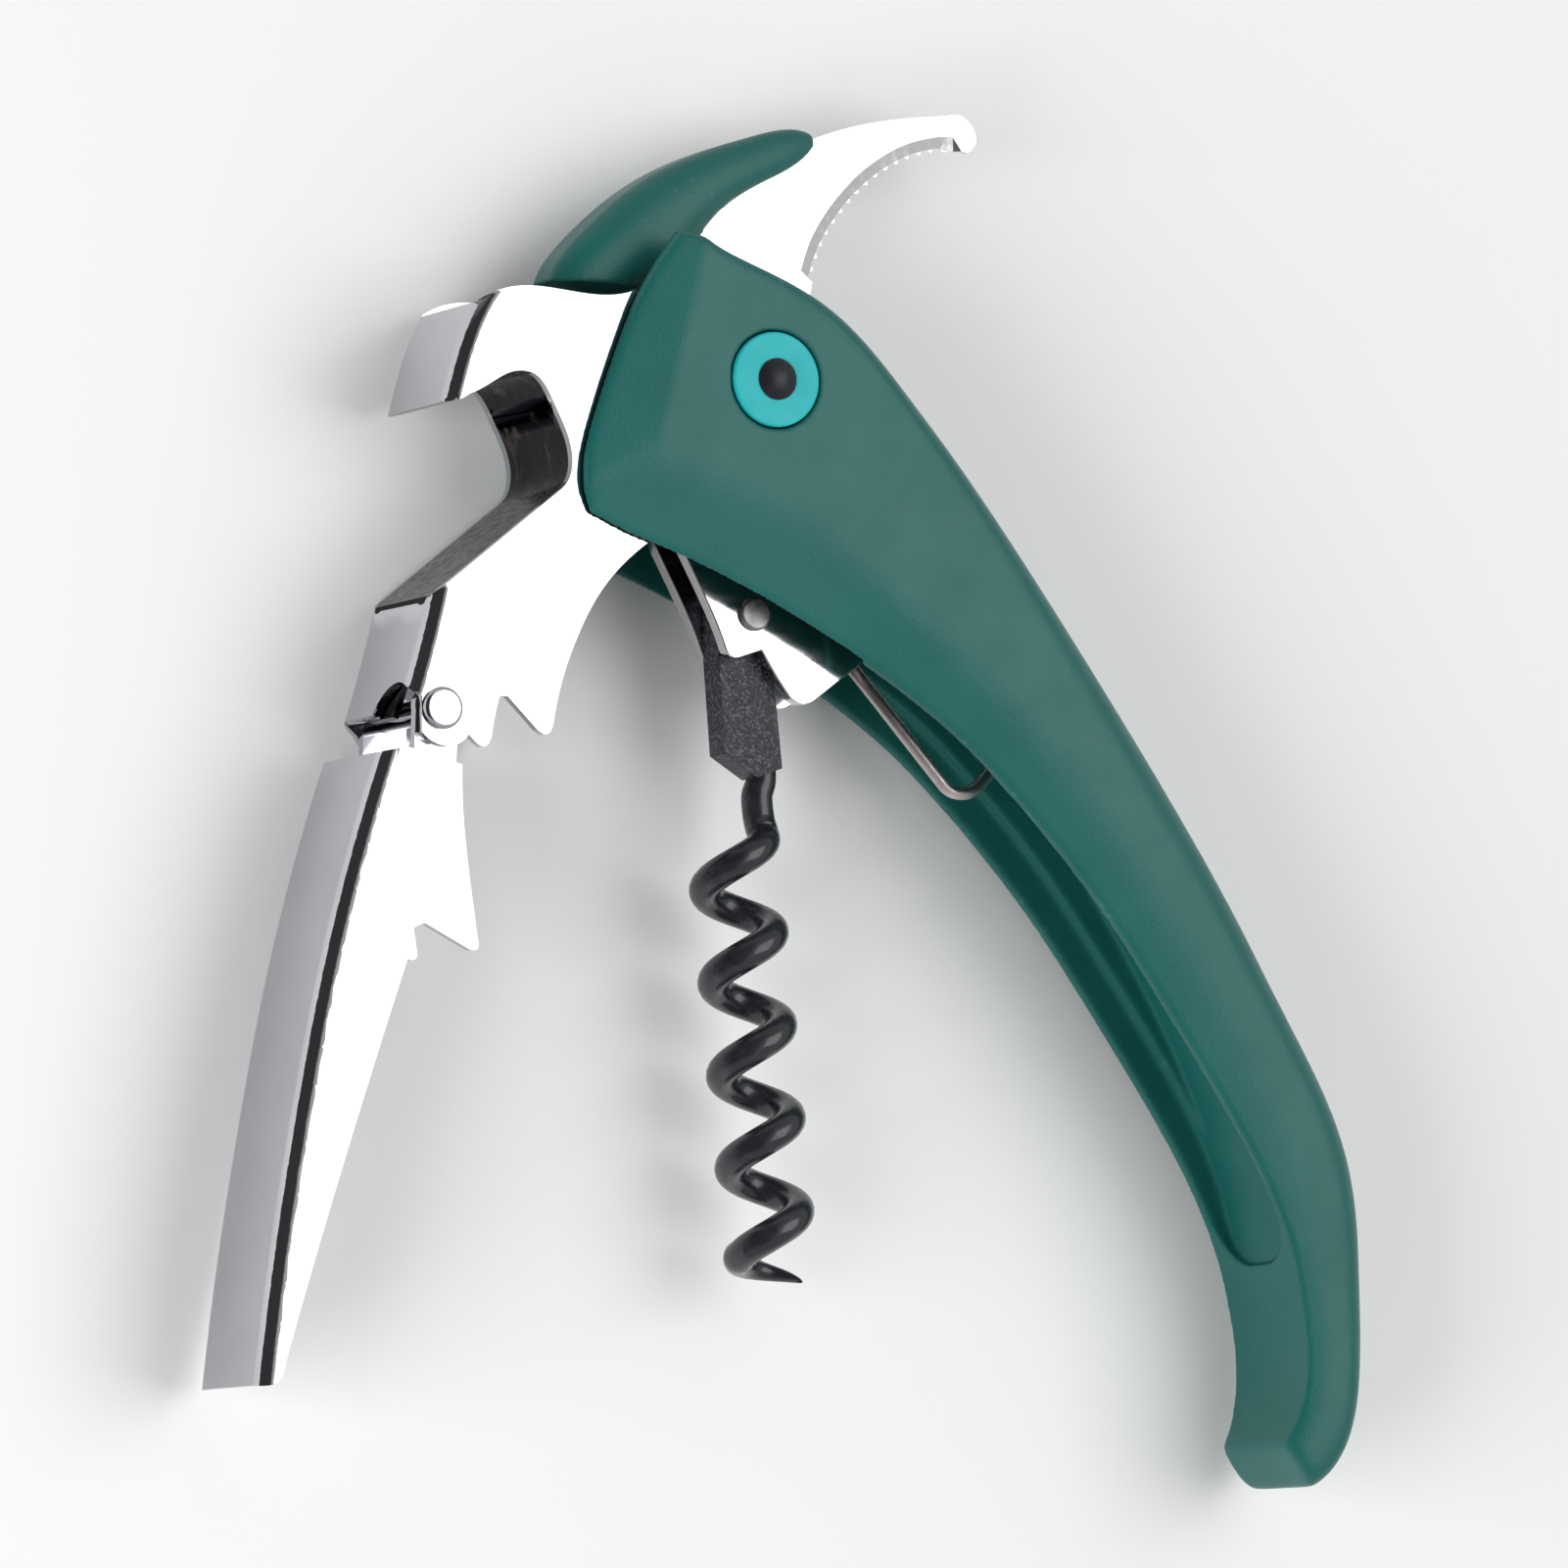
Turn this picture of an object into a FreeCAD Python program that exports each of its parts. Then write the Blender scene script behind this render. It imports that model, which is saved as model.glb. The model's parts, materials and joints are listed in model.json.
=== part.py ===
import FreeCAD, Part
import math
import os

# Lever corkscrew shaped like a bird, lying on its far side on a table.
# X runs from the lever towards the tail, Y from the tail towards the crest,
# Z is up through the thickness.  The eye axle is the Z axis.

V = FreeCAD.Vector
UP = V(0, 0, 1)

# ---- driving dimensions, millimetres ----
HEAD_HALF = 9.8          # half the thickness of the handle's head
EDGE_HALF = 7.55         # half the thickness at the handle's open edge
MID = HEAD_HALF          # height of the middle plane above the table
SHEET = 0.9              # lever sheet steel
BEND_R = 1.6             # outer radius of the sheet's bends
LEVER_HALF = 6.95        # half the outside width of the lever channel
LEVER_GAP = 0.2          # lever plate to head wall
AXLE_R = 2.0
RUN = 0.05               # radial running clearance on pins
POCKET_HALF = 5.4        # half the width of the worm's pocket
LEDGE_HALF = 6.3         # half the width of the ledge round its mouth
CHEEK_T = 1.5            # polished carrier plates
HUB_HALF = 1.6           # half the thickness of the worm's hub
CHEEK_IN = 1.68          # inner face of a carrier plate
BLADE_T = 1.0
RING_R = 4.45
PUPIL_R = 1.95
RING_DEPTH = 1.3
KNEE = V(-33.0, -32.0, 0)
KNEE_R = 1.2
ARCH_R, ARCH_Z = 3.9, 3.9       # window at the foot of the upper spine
WORM_PIN = V(1.1, -21.2, 0)
WORM_PIN_R = 1.1
WORM_R = 3.0             # helix centre-line radius
WIRE_R = 1.5
PITCH = 8.7
TURNS = 4.5
SPRING_WIRE_R = 0.65     # radius of the wire spring's wire
SPRING_BEND_R = 1.0
KNEE_HEAD_R, KNEE_HEAD_T = 1.95, 0.7
WORM_HEAD_R, WORM_HEAD_T = 1.65, 0.6
GRIP_PINS = [V(-4.6, 14.9, 0), V(-2.2, 17.6, 0)]
GRIP_PIN_R, GRIP_PIN_HALF = 0.8, 2.4


def face(wire):
    return Part.Face(wire)


def poly(points, z=0.0):
    pts = [V(p[0], p[1], z) for p in points]
    return Part.makePolygon(pts + [pts[0]])


def slab(wire_points, low, high):
    """Plate with a straight-sided outline between two heights."""
    return face(poly(wire_points, low)).extrude(V(0, 0, high - low))


def spline(points, z=0.0):
    curve = Part.BSplineCurve()
    curve.interpolate([V(p[0], p[1], z) for p in points])
    return curve.toShape()


def outline(pieces, z=0.0):
    """Closed wire from pieces: two points make a line, more make a smooth curve."""
    edges = []
    for piece in pieces:
        if len(piece) == 2:
            a, b = piece
            edges.append(Part.makeLine(V(a[0], a[1], z), V(b[0], b[1], z)))
        else:
            edges.append(spline(piece, z))
    return Part.Wire(edges)


def plate(pieces, low, high):
    """Plate whose outline has lines and smooth curves."""
    return face(outline(pieces, low)).extrude(V(0, 0, high - low))


def disc(radius, low, high, centre=V(0, 0, 0)):
    return Part.makeCylinder(radius, high - low, V(centre.x, centre.y, low), UP)


def ring(outer, inner, low, high, centre=V(0, 0, 0)):
    return disc(outer, low, high, centre).cut(disc(inner, low, high, centre))


def both_sides(make):
    """Near and far copies of what make(low, high) builds on the near side."""
    near = make()
    far = near.mirror(V(0, 0, 0), UP)
    return near, far


def turned(point, degrees):
    a = math.radians(degrees)
    return (point[0] * math.cos(a) - point[1] * math.sin(a),
            point[0] * math.sin(a) + point[1] * math.cos(a))


# ---- handle ----
# Each station crosses the handle from its open edge to its back:
# open-edge point, back point, half thickness, bevel width, back rounding.
STATIONS = [
    ((-14.0, -15.0), (-6.9, 13.1), 9.82, 8.0, 0.9),
    ((-6.0, -17.7), (-1.5, 10.7), 9.84, 8.2, 1.2),
    ((4.9, -22.6), (8.0, 6.2), 9.84, 8.4, 2.2),
    ((13.2, -27.2), (14.7, 0.1), 9.78, 7.2, 3.4),
    ((20.6, -32.2), (25.2, -12.0), 9.6, 6.2, 3.8),
    ((26.9, -37.8), (35.5, -25.4), 9.4, 5.4, 4.0),
    ((34.2, -45.5), (44.4, -37.8), 9.2, 4.9, 4.0),
    ((40.3, -53.2), (52.1, -49.6), 9.0, 4.7, 4.0),
    ((46.6, -62.0), (58.7, -60.6), 8.7, 4.6, 3.9),
    ((51.8, -69.8), (62.8, -68.8), 8.4, 3.6, 3.6),
    ((55.7, -77.3), (64.5, -77.0), 8.1, 2.4, 3.2),
    ((57.8, -84.8), (64.8, -85.0), 7.8, 2.0, 2.8),
    ((58.4, -91.0), (64.6, -92.6), 7.6, 1.9, 2.5),
    ((57.7, -95.0), (63.2, -98.4), 7.3, 1.8, 2.3),
    ((56.2, -97.9), (59.4, -102.2), 6.9, 1.7, 2.2),
]
FRONT = ((-21.0, -12.0), (-14.0, 14.9), 7.75, 0.4, 0.6)     # beyond the first, cut back by FRONT_EDGE
EDGE_DROP = 0.6          # least step from the side face down to the open edge
RIDGE_SOFT = 2.2         # length over which the ridge beside the bevel is rounded
FRONT_EDGE = [(-8.0, 15.5), (-9.6, 13.3), (-12.9, 8.3), (-15.9, 1.3), (-18.3, -5.7),
              (-18.95, -9.5), (-18.6, -12.0), (-16.5, -15.5)]


def station_wire(open_edge, back, half, bevel, rounding):
    """Section of the handle: bevelled at the open edge, rounded at the back."""
    a = V(open_edge[0], open_edge[1], 0)
    b = V(back[0], back[1], 0)
    length = (b - a).Length
    u = (b - a).normalize()
    edge = min(EDGE_HALF, half - min(EDGE_DROP, 0.7 * bevel))
    c = rounding * (1 - math.cos(math.pi / 4))
    soft = min(RIDGE_SOFT, 0.7 * bevel)

    def at(s, z):
        return a + u * s + UP * z
    before = at(bevel - soft, half - (half - edge) * soft / bevel)
    up = [at(0, edge), before, at(bevel, half), at(bevel + soft, half),
          at(length - rounding, half), at(length - c, half - c), at(length, half - rounding)]
    down = [V(p.x, p.y, -p.z) for p in up]

    def ridge(first, corner, last):
        curve = Part.BezierCurve()
        curve.setPoles([first, corner, last])
        return curve.toShape()
    return Part.Wire([
        Part.makeLine(down[0], up[0]),
        Part.makeLine(up[0], up[1]),
        ridge(up[1], up[2], up[3]),
        Part.makeLine(up[3], up[4]),
        Part.Arc(up[4], up[5], up[6]).toShape(),
        Part.makeLine(up[6], down[6]),
        Part.Arc(down[6], down[5], down[4]).toShape(),
        Part.makeLine(down[4], down[3]),
        ridge(down[3], down[2], down[1]),
        Part.makeLine(down[1], down[0]),
    ])


def rounded_end(hollow, half, radius):
    """The hollow with the two corners of its lowest end rounded."""
    low = hollow.BoundBox.YMin + 1e-3
    corners = [e for e in hollow.Edges if e.BoundBox.YMax < low and e.BoundBox.ZLength < 1e-6
               and abs(abs(e.BoundBox.ZMax) - half) < 1e-6]
    return hollow.makeFillet(radius, corners)


def make_handle():
    body = Part.makeLoft([station_wire(*s) for s in STATIONS], True, False)
    front = Part.makeLoft([station_wire(*FRONT), station_wire(*STATIONS[0])], True, True)
    body = body.fuse(front).removeSplitter()
    body = body.common(Part.makeBox(200, 200, 2 * HEAD_HALF, V(-100, -150, -HEAD_HALF)))
    # the head's front edge is bowed
    far_left = -30
    trim = plate([FRONT_EDGE, [FRONT_EDGE[-1], (far_left, FRONT_EDGE[-1][1])],
                  [(far_left, FRONT_EDGE[-1][1]), (far_left, FRONT_EDGE[0][1])],
                  [(far_left, FRONT_EDGE[0][1]), FRONT_EDGE[0]]], -HEAD_HALF - 1, HEAD_HALF + 1)
    body = body.cut(trim)

    # fork between the two side walls of the head
    wide = LEVER_HALF + LEVER_GAP
    fork = slab([(-40, -45), (-40, 30), (3.0, 30), (4.8, 8.8), (9.2, 1.4), (9.6, -12),
                 (10.2, -20), (11.0, -27.5), (11.0, -45)], -wide, wide)
    body = body.cut(fork)

    # deep pocket for the worm, behind a back wall
    pocket = plate([
        [(5.0, -2.0), (9.5, 0.0), (20.0, -14.5), (30.5, -29.0), (42.0, -45.5), (50.5, -59.5),
         (54.3, -68.0)],
        [(54.3, -68.0), (54.0, -71.6), (51.5, -74.5)],
        [(51.5, -74.5), (30.0, -74.5)],
        [(30.0, -74.5), (5.0, -40.0)],
        [(5.0, -40.0), (5.0, -2.0)],
    ], -POCKET_HALF, POCKET_HALF)
    body = body.cut(rounded_end(pocket, POCKET_HALF, 4.0))

    # shallow ledge all round the pocket's mouth
    ledge = plate([
        [(5.0, -15.0), (12.4, -22.3), (22.6, -29.3), (29.0, -35.0), (36.6, -43.2), (42.9, -51.4),
         (49.3, -60.3), (54.4, -68.6), (57.2, -76.0), (57.6, -80.6)],
        [(57.6, -80.6), (40.0, -80.6)],
        [(40.0, -80.6), (5.0, -45.0)],
        [(5.0, -45.0), (5.0, -15.0)],
    ], -LEDGE_HALF, LEDGE_HALF)
    body = body.cut(rounded_end(ledge, LEDGE_HALF, 5.2))

    # slot in the back that takes the folded knife blade
    reach = 37.6
    slot = [(0, 0)]
    for k in range(0, 13):
        slot.append(turned((reach, 0), 108 - 13.2 * k))
    body = body.cut(slab(slot, -1.0, 1.0))

    # axle holes, seats of the eye rings, hole for the wire spring's foot
    body = body.cut(disc(AXLE_R, -20, 20))
    for low, high in ((HEAD_HALF - RING_DEPTH, 20), (-20, RING_DEPTH - HEAD_HALF)):
        body = body.cut(disc(RING_R + 0.2, low, high))
    return body.cut(make_wire_spring())


# ---- eye and axle ----
def make_eye_ring(top):
    low = HEAD_HALF - RING_DEPTH
    body = ring(RING_R, PUPIL_R, low, top)
    rim = [e for e in body.Edges if abs(e.BoundBox.ZMin - top) < 1e-6
           and abs(e.BoundBox.ZMax - top) < 1e-6 and e.Length > 6 * RING_R]
    return body.makeFillet(0.25, rim)


def make_pupil(dome):
    low = HEAD_HALF - RING_DEPTH
    if dome == 0:
        return disc(PUPIL_R, low, HEAD_HALF)
    top = HEAD_HALF + 0.35
    radius = (PUPIL_R ** 2 + dome ** 2) / (2 * dome)
    ball = Part.makeSphere(radius, V(0, 0, top + dome - radius))
    return disc(PUPIL_R, low, top + dome).common(ball.fuse(disc(PUPIL_R, low, top)))


# ---- levers ----
JAW = [(-29.2, 5.9), (-30.6, 3.0), (-31.8, -0.6), (-32.6, -3.6)]
LIP = [(-32.6, -3.6), (-31.6, -3.5), (-30.2, -2.8)]
NOTCH = [(-30.2, -2.8), (-27.8, -1.5), (-25.4, -0.4), (-23.6, -0.6), (-21.6, -3.2),
         (-19.9, -7.0), (-19.8, -9.4), (-21.2, -11.4)]
RAMP = [(-21.2, -11.4), (-33.9, -21.6)]
LOWER_SPINE = [(-33.9, -21.6), (-34.9, -25.6), (-36.9, -32.3)]
UPPER_REST = [
    [(-36.9, -32.3), (-35.4, -33.6)],
    [(-35.4, -33.6), (-33.9, -35.1), (-31.9, -35.4), (-30.6, -34.7)],
    [(-30.6, -34.7), (-27.9, -31.4)],
    [(-27.9, -31.4), (-27.2, -30.7), (-26.3, -30.6)],
    [(-26.3, -30.6), (-23.3, -33.5)],
    [(-23.3, -33.5), (-22.3, -33.9), (-21.6, -32.8)],
    [(-21.6, -32.8), (-20.7, -28.8), (-19.0, -24.4), (-16.6, -20.2), (-11.6, -15.4), (-5.0, -11.4),
     (0.0, -8.0)],
    [(0.0, -8.0), (8.0, 0.0), (0.0, 8.0)],
    [(0.0, 8.0), (-12.9, 8.0)],
    [(-12.9, 8.0), (-17.9, 7.2), (-23.2, 7.6), (-29.2, 5.9)],
]


def strip(path, thickness, low, high):
    """Sheet bent along a path; the sheet lies on the left of the path."""
    line = Part.makePolygon([V(p[0], p[1], low) for p in path])
    sheet = line.makeOffset2D(-thickness, join=0, fill=True, openResult=True)
    return sheet.extrude(V(0, 0, high - low))


def smooth(points, steps=6):
    """Points sampled evenly along a smooth curve through the given ones."""
    curve = Part.BSplineCurve()
    curve.interpolate([V(p[0], p[1], 0) for p in points])
    return [(q.x, q.y) for q in curve.discretize(steps * (len(points) - 1) + 1)]


def arc3(a, b, c):
    return Part.Arc(V(a[0], a[1], 0), V(b[0], b[1], 0), V(c[0], c[1], 0)).toShape()


def upper_lever_outline(z):
    edges = []
    for piece in [JAW, LIP, NOTCH, RAMP, LOWER_SPINE] + UPPER_REST:
        if piece == [(0.0, -8.0), (8.0, 0.0), (0.0, 8.0)]:
            edges.append(arc3(*piece))
        elif len(piece) == 2:
            edges.append(Part.makeLine(V(*piece[0], 0), V(*piece[1], 0)))
        else:
            edges.append(spline(piece))
    wire = Part.Wire(edges)
    wire.translate(V(0, 0, z))
    return wire


def bend_edges(solid, curves):
    """The solid's long top and bottom edges whose ends are the ends of the given curves."""
    found = []
    for edge in solid.Edges:
        points = [v.Point for v in edge.Vertexes]
        flat = len(points) == 2 and abs(points[0].z - points[1].z) < 1e-6
        if flat and any(all(min((p.x - q[0]) ** 2 + (p.y - q[1]) ** 2 for q in (c[0], c[-1])) < 1e-6
                            for p in points) for c in curves):
            found.append(edge)
    return found


def channel(outline_face, spine_path, bends):
    """Pressed sheet channel: two plates of the outline, joined by a spine with rounded bends."""
    inner = LEVER_HALF - SHEET
    blank = outline_face(-LEVER_HALF).extrude(UP * (2 * LEVER_HALF))
    blank = blank.makeFillet(BEND_R, bend_edges(blank, bends))
    spine = strip(spine_path, SHEET, -inner, inner)
    return blank.cut(outline_face(-inner).extrude(UP * (2 * inner)).cut(spine))


def make_upper_lever():
    spine_path = (smooth(JAW)[:-1] + smooth(LIP, 3)[:-1] + smooth(NOTCH)[:-1] + RAMP[:-1]
                  + smooth(LOWER_SPINE))
    body = channel(lambda z: face(upper_lever_outline(z)), spine_path, [JAW, LOWER_SPINE])
    # arched window across the near bend at the foot of the spine
    arch = Part.makeCylinder(ARCH_R, 7, V(-42, -33.4, ARCH_Z), V(1, 0, 0))
    arch = arch.fuse(Part.makeBox(7, 4, 2 * ARCH_R, V(-42, -37.4, ARCH_Z - ARCH_R)))
    body = body.cut(arch)
    body = body.cut(disc(AXLE_R + RUN, -20, 20))
    return body.cut(disc(KNEE_R, -20, 20, KNEE))


LOWER_OUT = [(-39.0, -36.2), (-41.8, -45.0), (-44.8, -56.5), (-47.2, -68.5), (-49.3, -81.0),
             (-51.0, -94.2)]
LOWER_REST = [
    [(-51.0, -94.2), (-49.4, -94.0), (-48.4, -92.0)],
    [(-48.4, -92.0), (-43.9, -77.5), (-39.7, -64.8), (-36.2, -54.6)],
    [(-36.2, -54.6), (-35.9, -52.4), (-34.6, -51.8)],
    [(-34.6, -51.8), (-30.2, -54.0)],
    [(-30.2, -54.0), (-29.4, -54.0), (-29.3, -53.0)],
    [(-29.3, -53.0), (-30.2, -47.0), (-30.8, -41.5), (-30.9, -37.1)],
]


def make_lower_lever():
    top = [[(-30.9, -37.1), (-36.4, -35.7)], [(-36.4, -35.7), (-39.0, -36.2)]]
    pieces = [LOWER_OUT] + LOWER_REST + top
    body = channel(lambda z: face(outline(pieces, z)), smooth(LOWER_OUT), [LOWER_OUT])
    # ears, joggled inwards so that they run between the upper lever's plates
    inner = LEVER_HALF - SHEET
    ear_out = inner - RUN
    ear_in = ear_out - SHEET
    ear = plate([
        [(-35.4, -38.6), (-35.2, -32.2)],
        [(-35.2, -32.2), (-34.4, -30.2), (-31.6, -30.2), (-30.8, -32.2)],
        [(-30.8, -32.2), (-31.2, -38.6)],
        [(-31.2, -38.6), (-35.4, -38.6)],
    ], ear_in, ear_out)
    joggle = slab([(-35.4, -38.6), (-35.4, -36.9), (-31.1, -37.6), (-31.2, -38.6)],
                  ear_out - 0.1, inner + 0.2)
    ears = ear.fuse(joggle)
    body = body.fuse([ears, ears.mirror(V(0, 0, 0), UP)]).removeSplitter()
    return body.cut(disc(KNEE_R + RUN, -20, 20, KNEE))


def make_knee_rivet():
    shank = disc(KNEE_R, -LEVER_HALF, LEVER_HALF, KNEE)
    head = disc(KNEE_HEAD_R, LEVER_HALF, LEVER_HALF + KNEE_HEAD_T, KNEE)
    rim = [e for e in head.Edges if e.BoundBox.ZMin > LEVER_HALF + KNEE_HEAD_T - 0.1]
    head = head.makeFillet(0.45, rim)
    return shank.fuse([head, head.mirror(V(0, 0, 0), UP)])


def make_lever_spring():
    """Flat spring that lies along the inside of the upper spine and holds the knee."""
    path = [(-32.9, -22.0), (-33.7, -25.6), (-35.2, -30.4), (-35.9, -32.6)]
    return strip(smooth(path), 0.6, -2.6, 2.6)


# ---- knife ----
BLADE_TOP = [(-6.0, 15.5), (8.8, 24.5), (13.2, 26.0), (18.4, 27.1), (23.2, 27.7)]
BLADE_TIP = [(23.2, 27.7), (25.7, 27.0), (26.2, 25.6), (25.4, 24.4)]
EDGE_CURVE = [(25.4, 24.4), (22.6, 24.3), (19.5, 23.5), (16.8, 22.1), (14.2, 20.1), (11.6, 17.2),
              (9.8, 14.3), (8.7, 11.1), (8.0, 7.0)]
SERRATIONS = 17
TOOTH_DEPTH = 0.38


def make_blade():
    curve = Part.BSplineCurve()
    curve.interpolate([V(p[0], p[1], 0) for p in EDGE_CURVE])
    half = BLADE_T / 2
    tang = [[(8.0, 7.0), (4.2, 0.0)], [(4.2, 0.0), (0.0, -4.6), (-4.6, 0.0)],
            [(-4.6, 0.0), (-7.4, 11.0), (-6.0, 15.5)]]
    blade = plate([BLADE_TOP, BLADE_TIP, EDGE_CURVE] + tang, -half, half)
    # scalloped edge: a row of round bites along the inner curve
    marks = curve.discretize(SERRATIONS + 5)[2:-3]
    for a, b in zip(marks, marks[1:]):
        chord = (b - a).Length
        outward = V(a.y - b.y, b.x - a.x, 0).normalize()
        radius = (chord ** 2 / 4 + TOOTH_DEPTH ** 2) / (2 * TOOTH_DEPTH)
        centre = (a + b) * 0.5 + outward * (radius - TOOTH_DEPTH)
        blade = blade.cut(disc(radius, -2, 2, centre))
    return blade.cut(disc(AXLE_R + RUN, -20, 20))


CREST = [
    ((-19.6, 8.9), (-10.4, 8.9), 3.7),
    ((-18.2, 11.6), (-8.2, 10.4), 4.0),
    ((-15.4, 14.6), (-5.6, 12.4), 4.1),
    ((-10.6, 18.6), (-3.4, 14.9), 3.9),
    ((-4.5, 21.9), (-0.9, 17.4), 3.4),
    ((1.7, 24.1), (3.4, 20.0), 2.6),
    ((6.2, 25.2), (7.1, 22.1), 1.8),
    ((8.4, 24.9), (8.7, 23.7), 1.1),
]


def crest_wire(outer, inner, half):
    """Section of the crest: two bowed sides between a narrow ridge and a narrow inner edge."""
    a = V(outer[0], outer[1], 0)
    u = V(inner[0], inner[1], 0) - a
    near = [a + u * s + UP * (half * w)
            for s, w in ((0.0, 0.45), (0.12, 0.8), (0.45, 1.0), (0.8, 0.9), (1.0, 0.45))]
    far = [V(p.x, p.y, -p.z) for p in near[::-1]]
    sides = []
    for points in (near, far):
        curve = Part.BSplineCurve()
        curve.interpolate(points)
        sides.append(curve.toShape())
    return Part.Wire([sides[0], Part.makeLine(near[-1], far[0]), sides[1],
                      Part.makeLine(far[-1], near[0])])


def make_crest(blade):
    body = Part.makeLoft([crest_wire(*s) for s in CREST], True, False)
    return body.cut(blade).cut(make_grip_pins())


def make_grip_pins():
    return Part.makeCompound([disc(GRIP_PIN_R, -GRIP_PIN_HALF, GRIP_PIN_HALF, at) for at in GRIP_PINS])


# ---- worm carrier ----
def make_cheek():
    low, high = CHEEK_IN, CHEEK_IN + CHEEK_T
    body = plate([
        [(-5.6, 1.0), (-6.4, -4.0), (-8.2, -11.0), (-6.4, -15.6), (-4.0, -20.0), (-1.9, -24.6)],
        [(-1.9, -24.6), (-1.2, -25.4), (-0.4, -25.4)],
        [(-0.4, -25.4), (1.9, -24.6)],
        [(1.9, -24.6), (2.9, -26.2), (5.0, -29.0)],
        [(5.0, -29.0), (6.2, -29.5), (7.6, -29.0)],
        [(7.6, -29.0), (12.6, -25.2)],
        [(12.6, -25.2), (13.4, -23.6), (12.6, -21.8)],
        [(12.6, -21.8), (8.6, -12.0), (5.6, 1.0)],
        [(5.6, 1.0), (0.0, 5.6), (-5.6, 1.0)],
    ], low, high)
    body = body.cut(disc(AXLE_R, -20, 20))
    return body.cut(disc(WORM_PIN_R, -20, 20, WORM_PIN))


def make_worm_rivet():
    outer = CHEEK_IN + CHEEK_T
    shank = disc(WORM_PIN_R, -outer, outer, WORM_PIN)
    head = disc(WORM_HEAD_R, outer, outer + WORM_HEAD_T, WORM_PIN)
    rim = [e for e in head.Edges if e.BoundBox.ZMin > outer + WORM_HEAD_T - 0.1]
    head = head.makeFillet(0.4, rim)
    return shank.fuse([head, head.mirror(V(0, 0, 0), UP)])


def tube(points, radius, bend):
    """Round bar along straight runs joined by arcs of radius bend."""
    edges = []
    start = points[0]
    for i in range(1, len(points) - 1):
        a = (points[i - 1] - points[i]).normalize()
        b = (points[i + 1] - points[i]).normalize()
        angle = math.acos(max(-1.0, min(1.0, a.dot(b))))
        cut = bend / math.tan(angle / 2)
        p, q = points[i] + a * cut, points[i] + b * cut
        middle = (a + b).normalize()
        centre = points[i] + middle * (bend / math.sin(angle / 2))
        edges.append(Part.makeLine(start, p))
        edges.append(Part.Arc(p, centre - middle * bend, q).toShape())
        start = q
    edges.append(Part.makeLine(start, points[-1]))
    path = Part.Wire(edges)
    direction = points[1] - points[0]
    profile = Part.Wire([Part.Circle(points[0], direction, radius).toShape()])
    return path.makePipeShell([profile], True, False)


def make_wire_spring():
    """Bent wire that presses on the hub's cam between the carrier plates."""
    points = [V(6.6, -18.3, 0), V(23.6, -36.8, 0), V(26.0, -36.7, 0), V(32.4, -29.3, 0)]
    return tube(points, SPRING_WIRE_R, SPRING_BEND_R)


# ---- worm ----
AXIS_TOP = V(0.4, -41.7, 0)
AXIS_DIR = V(0.1034, -0.9946, 0).normalize()
TIP_TURNS = 0.5          # the last half turn tapers to the point
TIP_DROP = 3.0
HUB = [
    [(-1.1, -34.3), (-1.8, -25.4)],
    [(-1.8, -25.4), (-1.9, -21.0)],
    [(-1.9, -21.0), (-0.6, -18.4), (2.2, -18.2), (4.0, -20.4)],
    [(4.0, -20.4), (3.6, -23.4), (2.6, -24.7)],
    [(2.6, -24.7), (4.2, -28.9)],
    [(4.2, -28.9), (4.9, -35.4)],
    [(4.9, -35.4), (2.3, -36.4)],
    [(2.3, -36.4), (-1.1, -34.3)],
]


def worm_point(turn):
    """Centre of the worm's wire after a number of turns: right-handed, going down its axis."""
    side = UP.cross(AXIS_DIR)
    angle = 2 * math.pi * turn
    extra = max(0.0, turn - TURNS)
    drop = PITCH * min(turn, TURNS) + TIP_DROP * extra / TIP_TURNS
    out = side * math.cos(angle) + UP * math.sin(angle)
    return AXIS_TOP + AXIS_DIR * drop + out * WORM_R


def loft_tube(centres, radii):
    """Round bar of changing thickness; the section never twists from one centre to the next."""
    wires = []
    across = V(0, 0, 1)
    for i, p in enumerate(centres):
        along = (centres[min(i + 1, len(centres) - 1)] - centres[max(i - 1, 0)]).normalize()
        across = (across - along * across.dot(along)).normalize()
        third = along.cross(across)
        circle = Part.Wire([Part.Circle(V(0, 0, 0), UP, radii[i]).toShape()])
        circle.transformShape(FreeCAD.Matrix(across.x, third.x, along.x, p.x,
                                             across.y, third.y, along.y, p.y,
                                             across.z, third.z, along.z, p.z,
                                             0, 0, 0, 1))
        wires.append(circle)
    return Part.makeLoft(wires, True, True)


def make_worm():
    steps = 16
    start = worm_point(0)
    centres = [V(3.4, -34.0, 0), V(3.5, -36.4, 0), start - AXIS_DIR * 3.6, start - AXIS_DIR * 1.5]
    radii = [1.3, 1.4, WIRE_R, WIRE_R]
    for k in range(1, int(TURNS * steps) + 1):
        centres.append(worm_point(k / steps))
        radii.append(WIRE_R)
    taper = 8
    for k in range(1, taper + 1):
        s = k / taper
        centres.append(worm_point(TURNS + TIP_TURNS * s))
        radii.append(WIRE_R * (1 - s) ** 0.8 + 0.15)
    return loft_tube(centres, radii)


def make_hub():
    body = plate(HUB, -HUB_HALF, HUB_HALF)
    return body.cut(disc(WORM_PIN_R + RUN, -20, 20, WORM_PIN))


def save(name, shape):
    placed = shape.copy()
    placed.translate(V(0, 0, MID))
    placed.exportStep("parts/" + name + ".step")
    good = placed.isValid()
    print(name, "valid" if good else "INVALID", len(placed.Solids), round(placed.Volume, 1))


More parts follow.
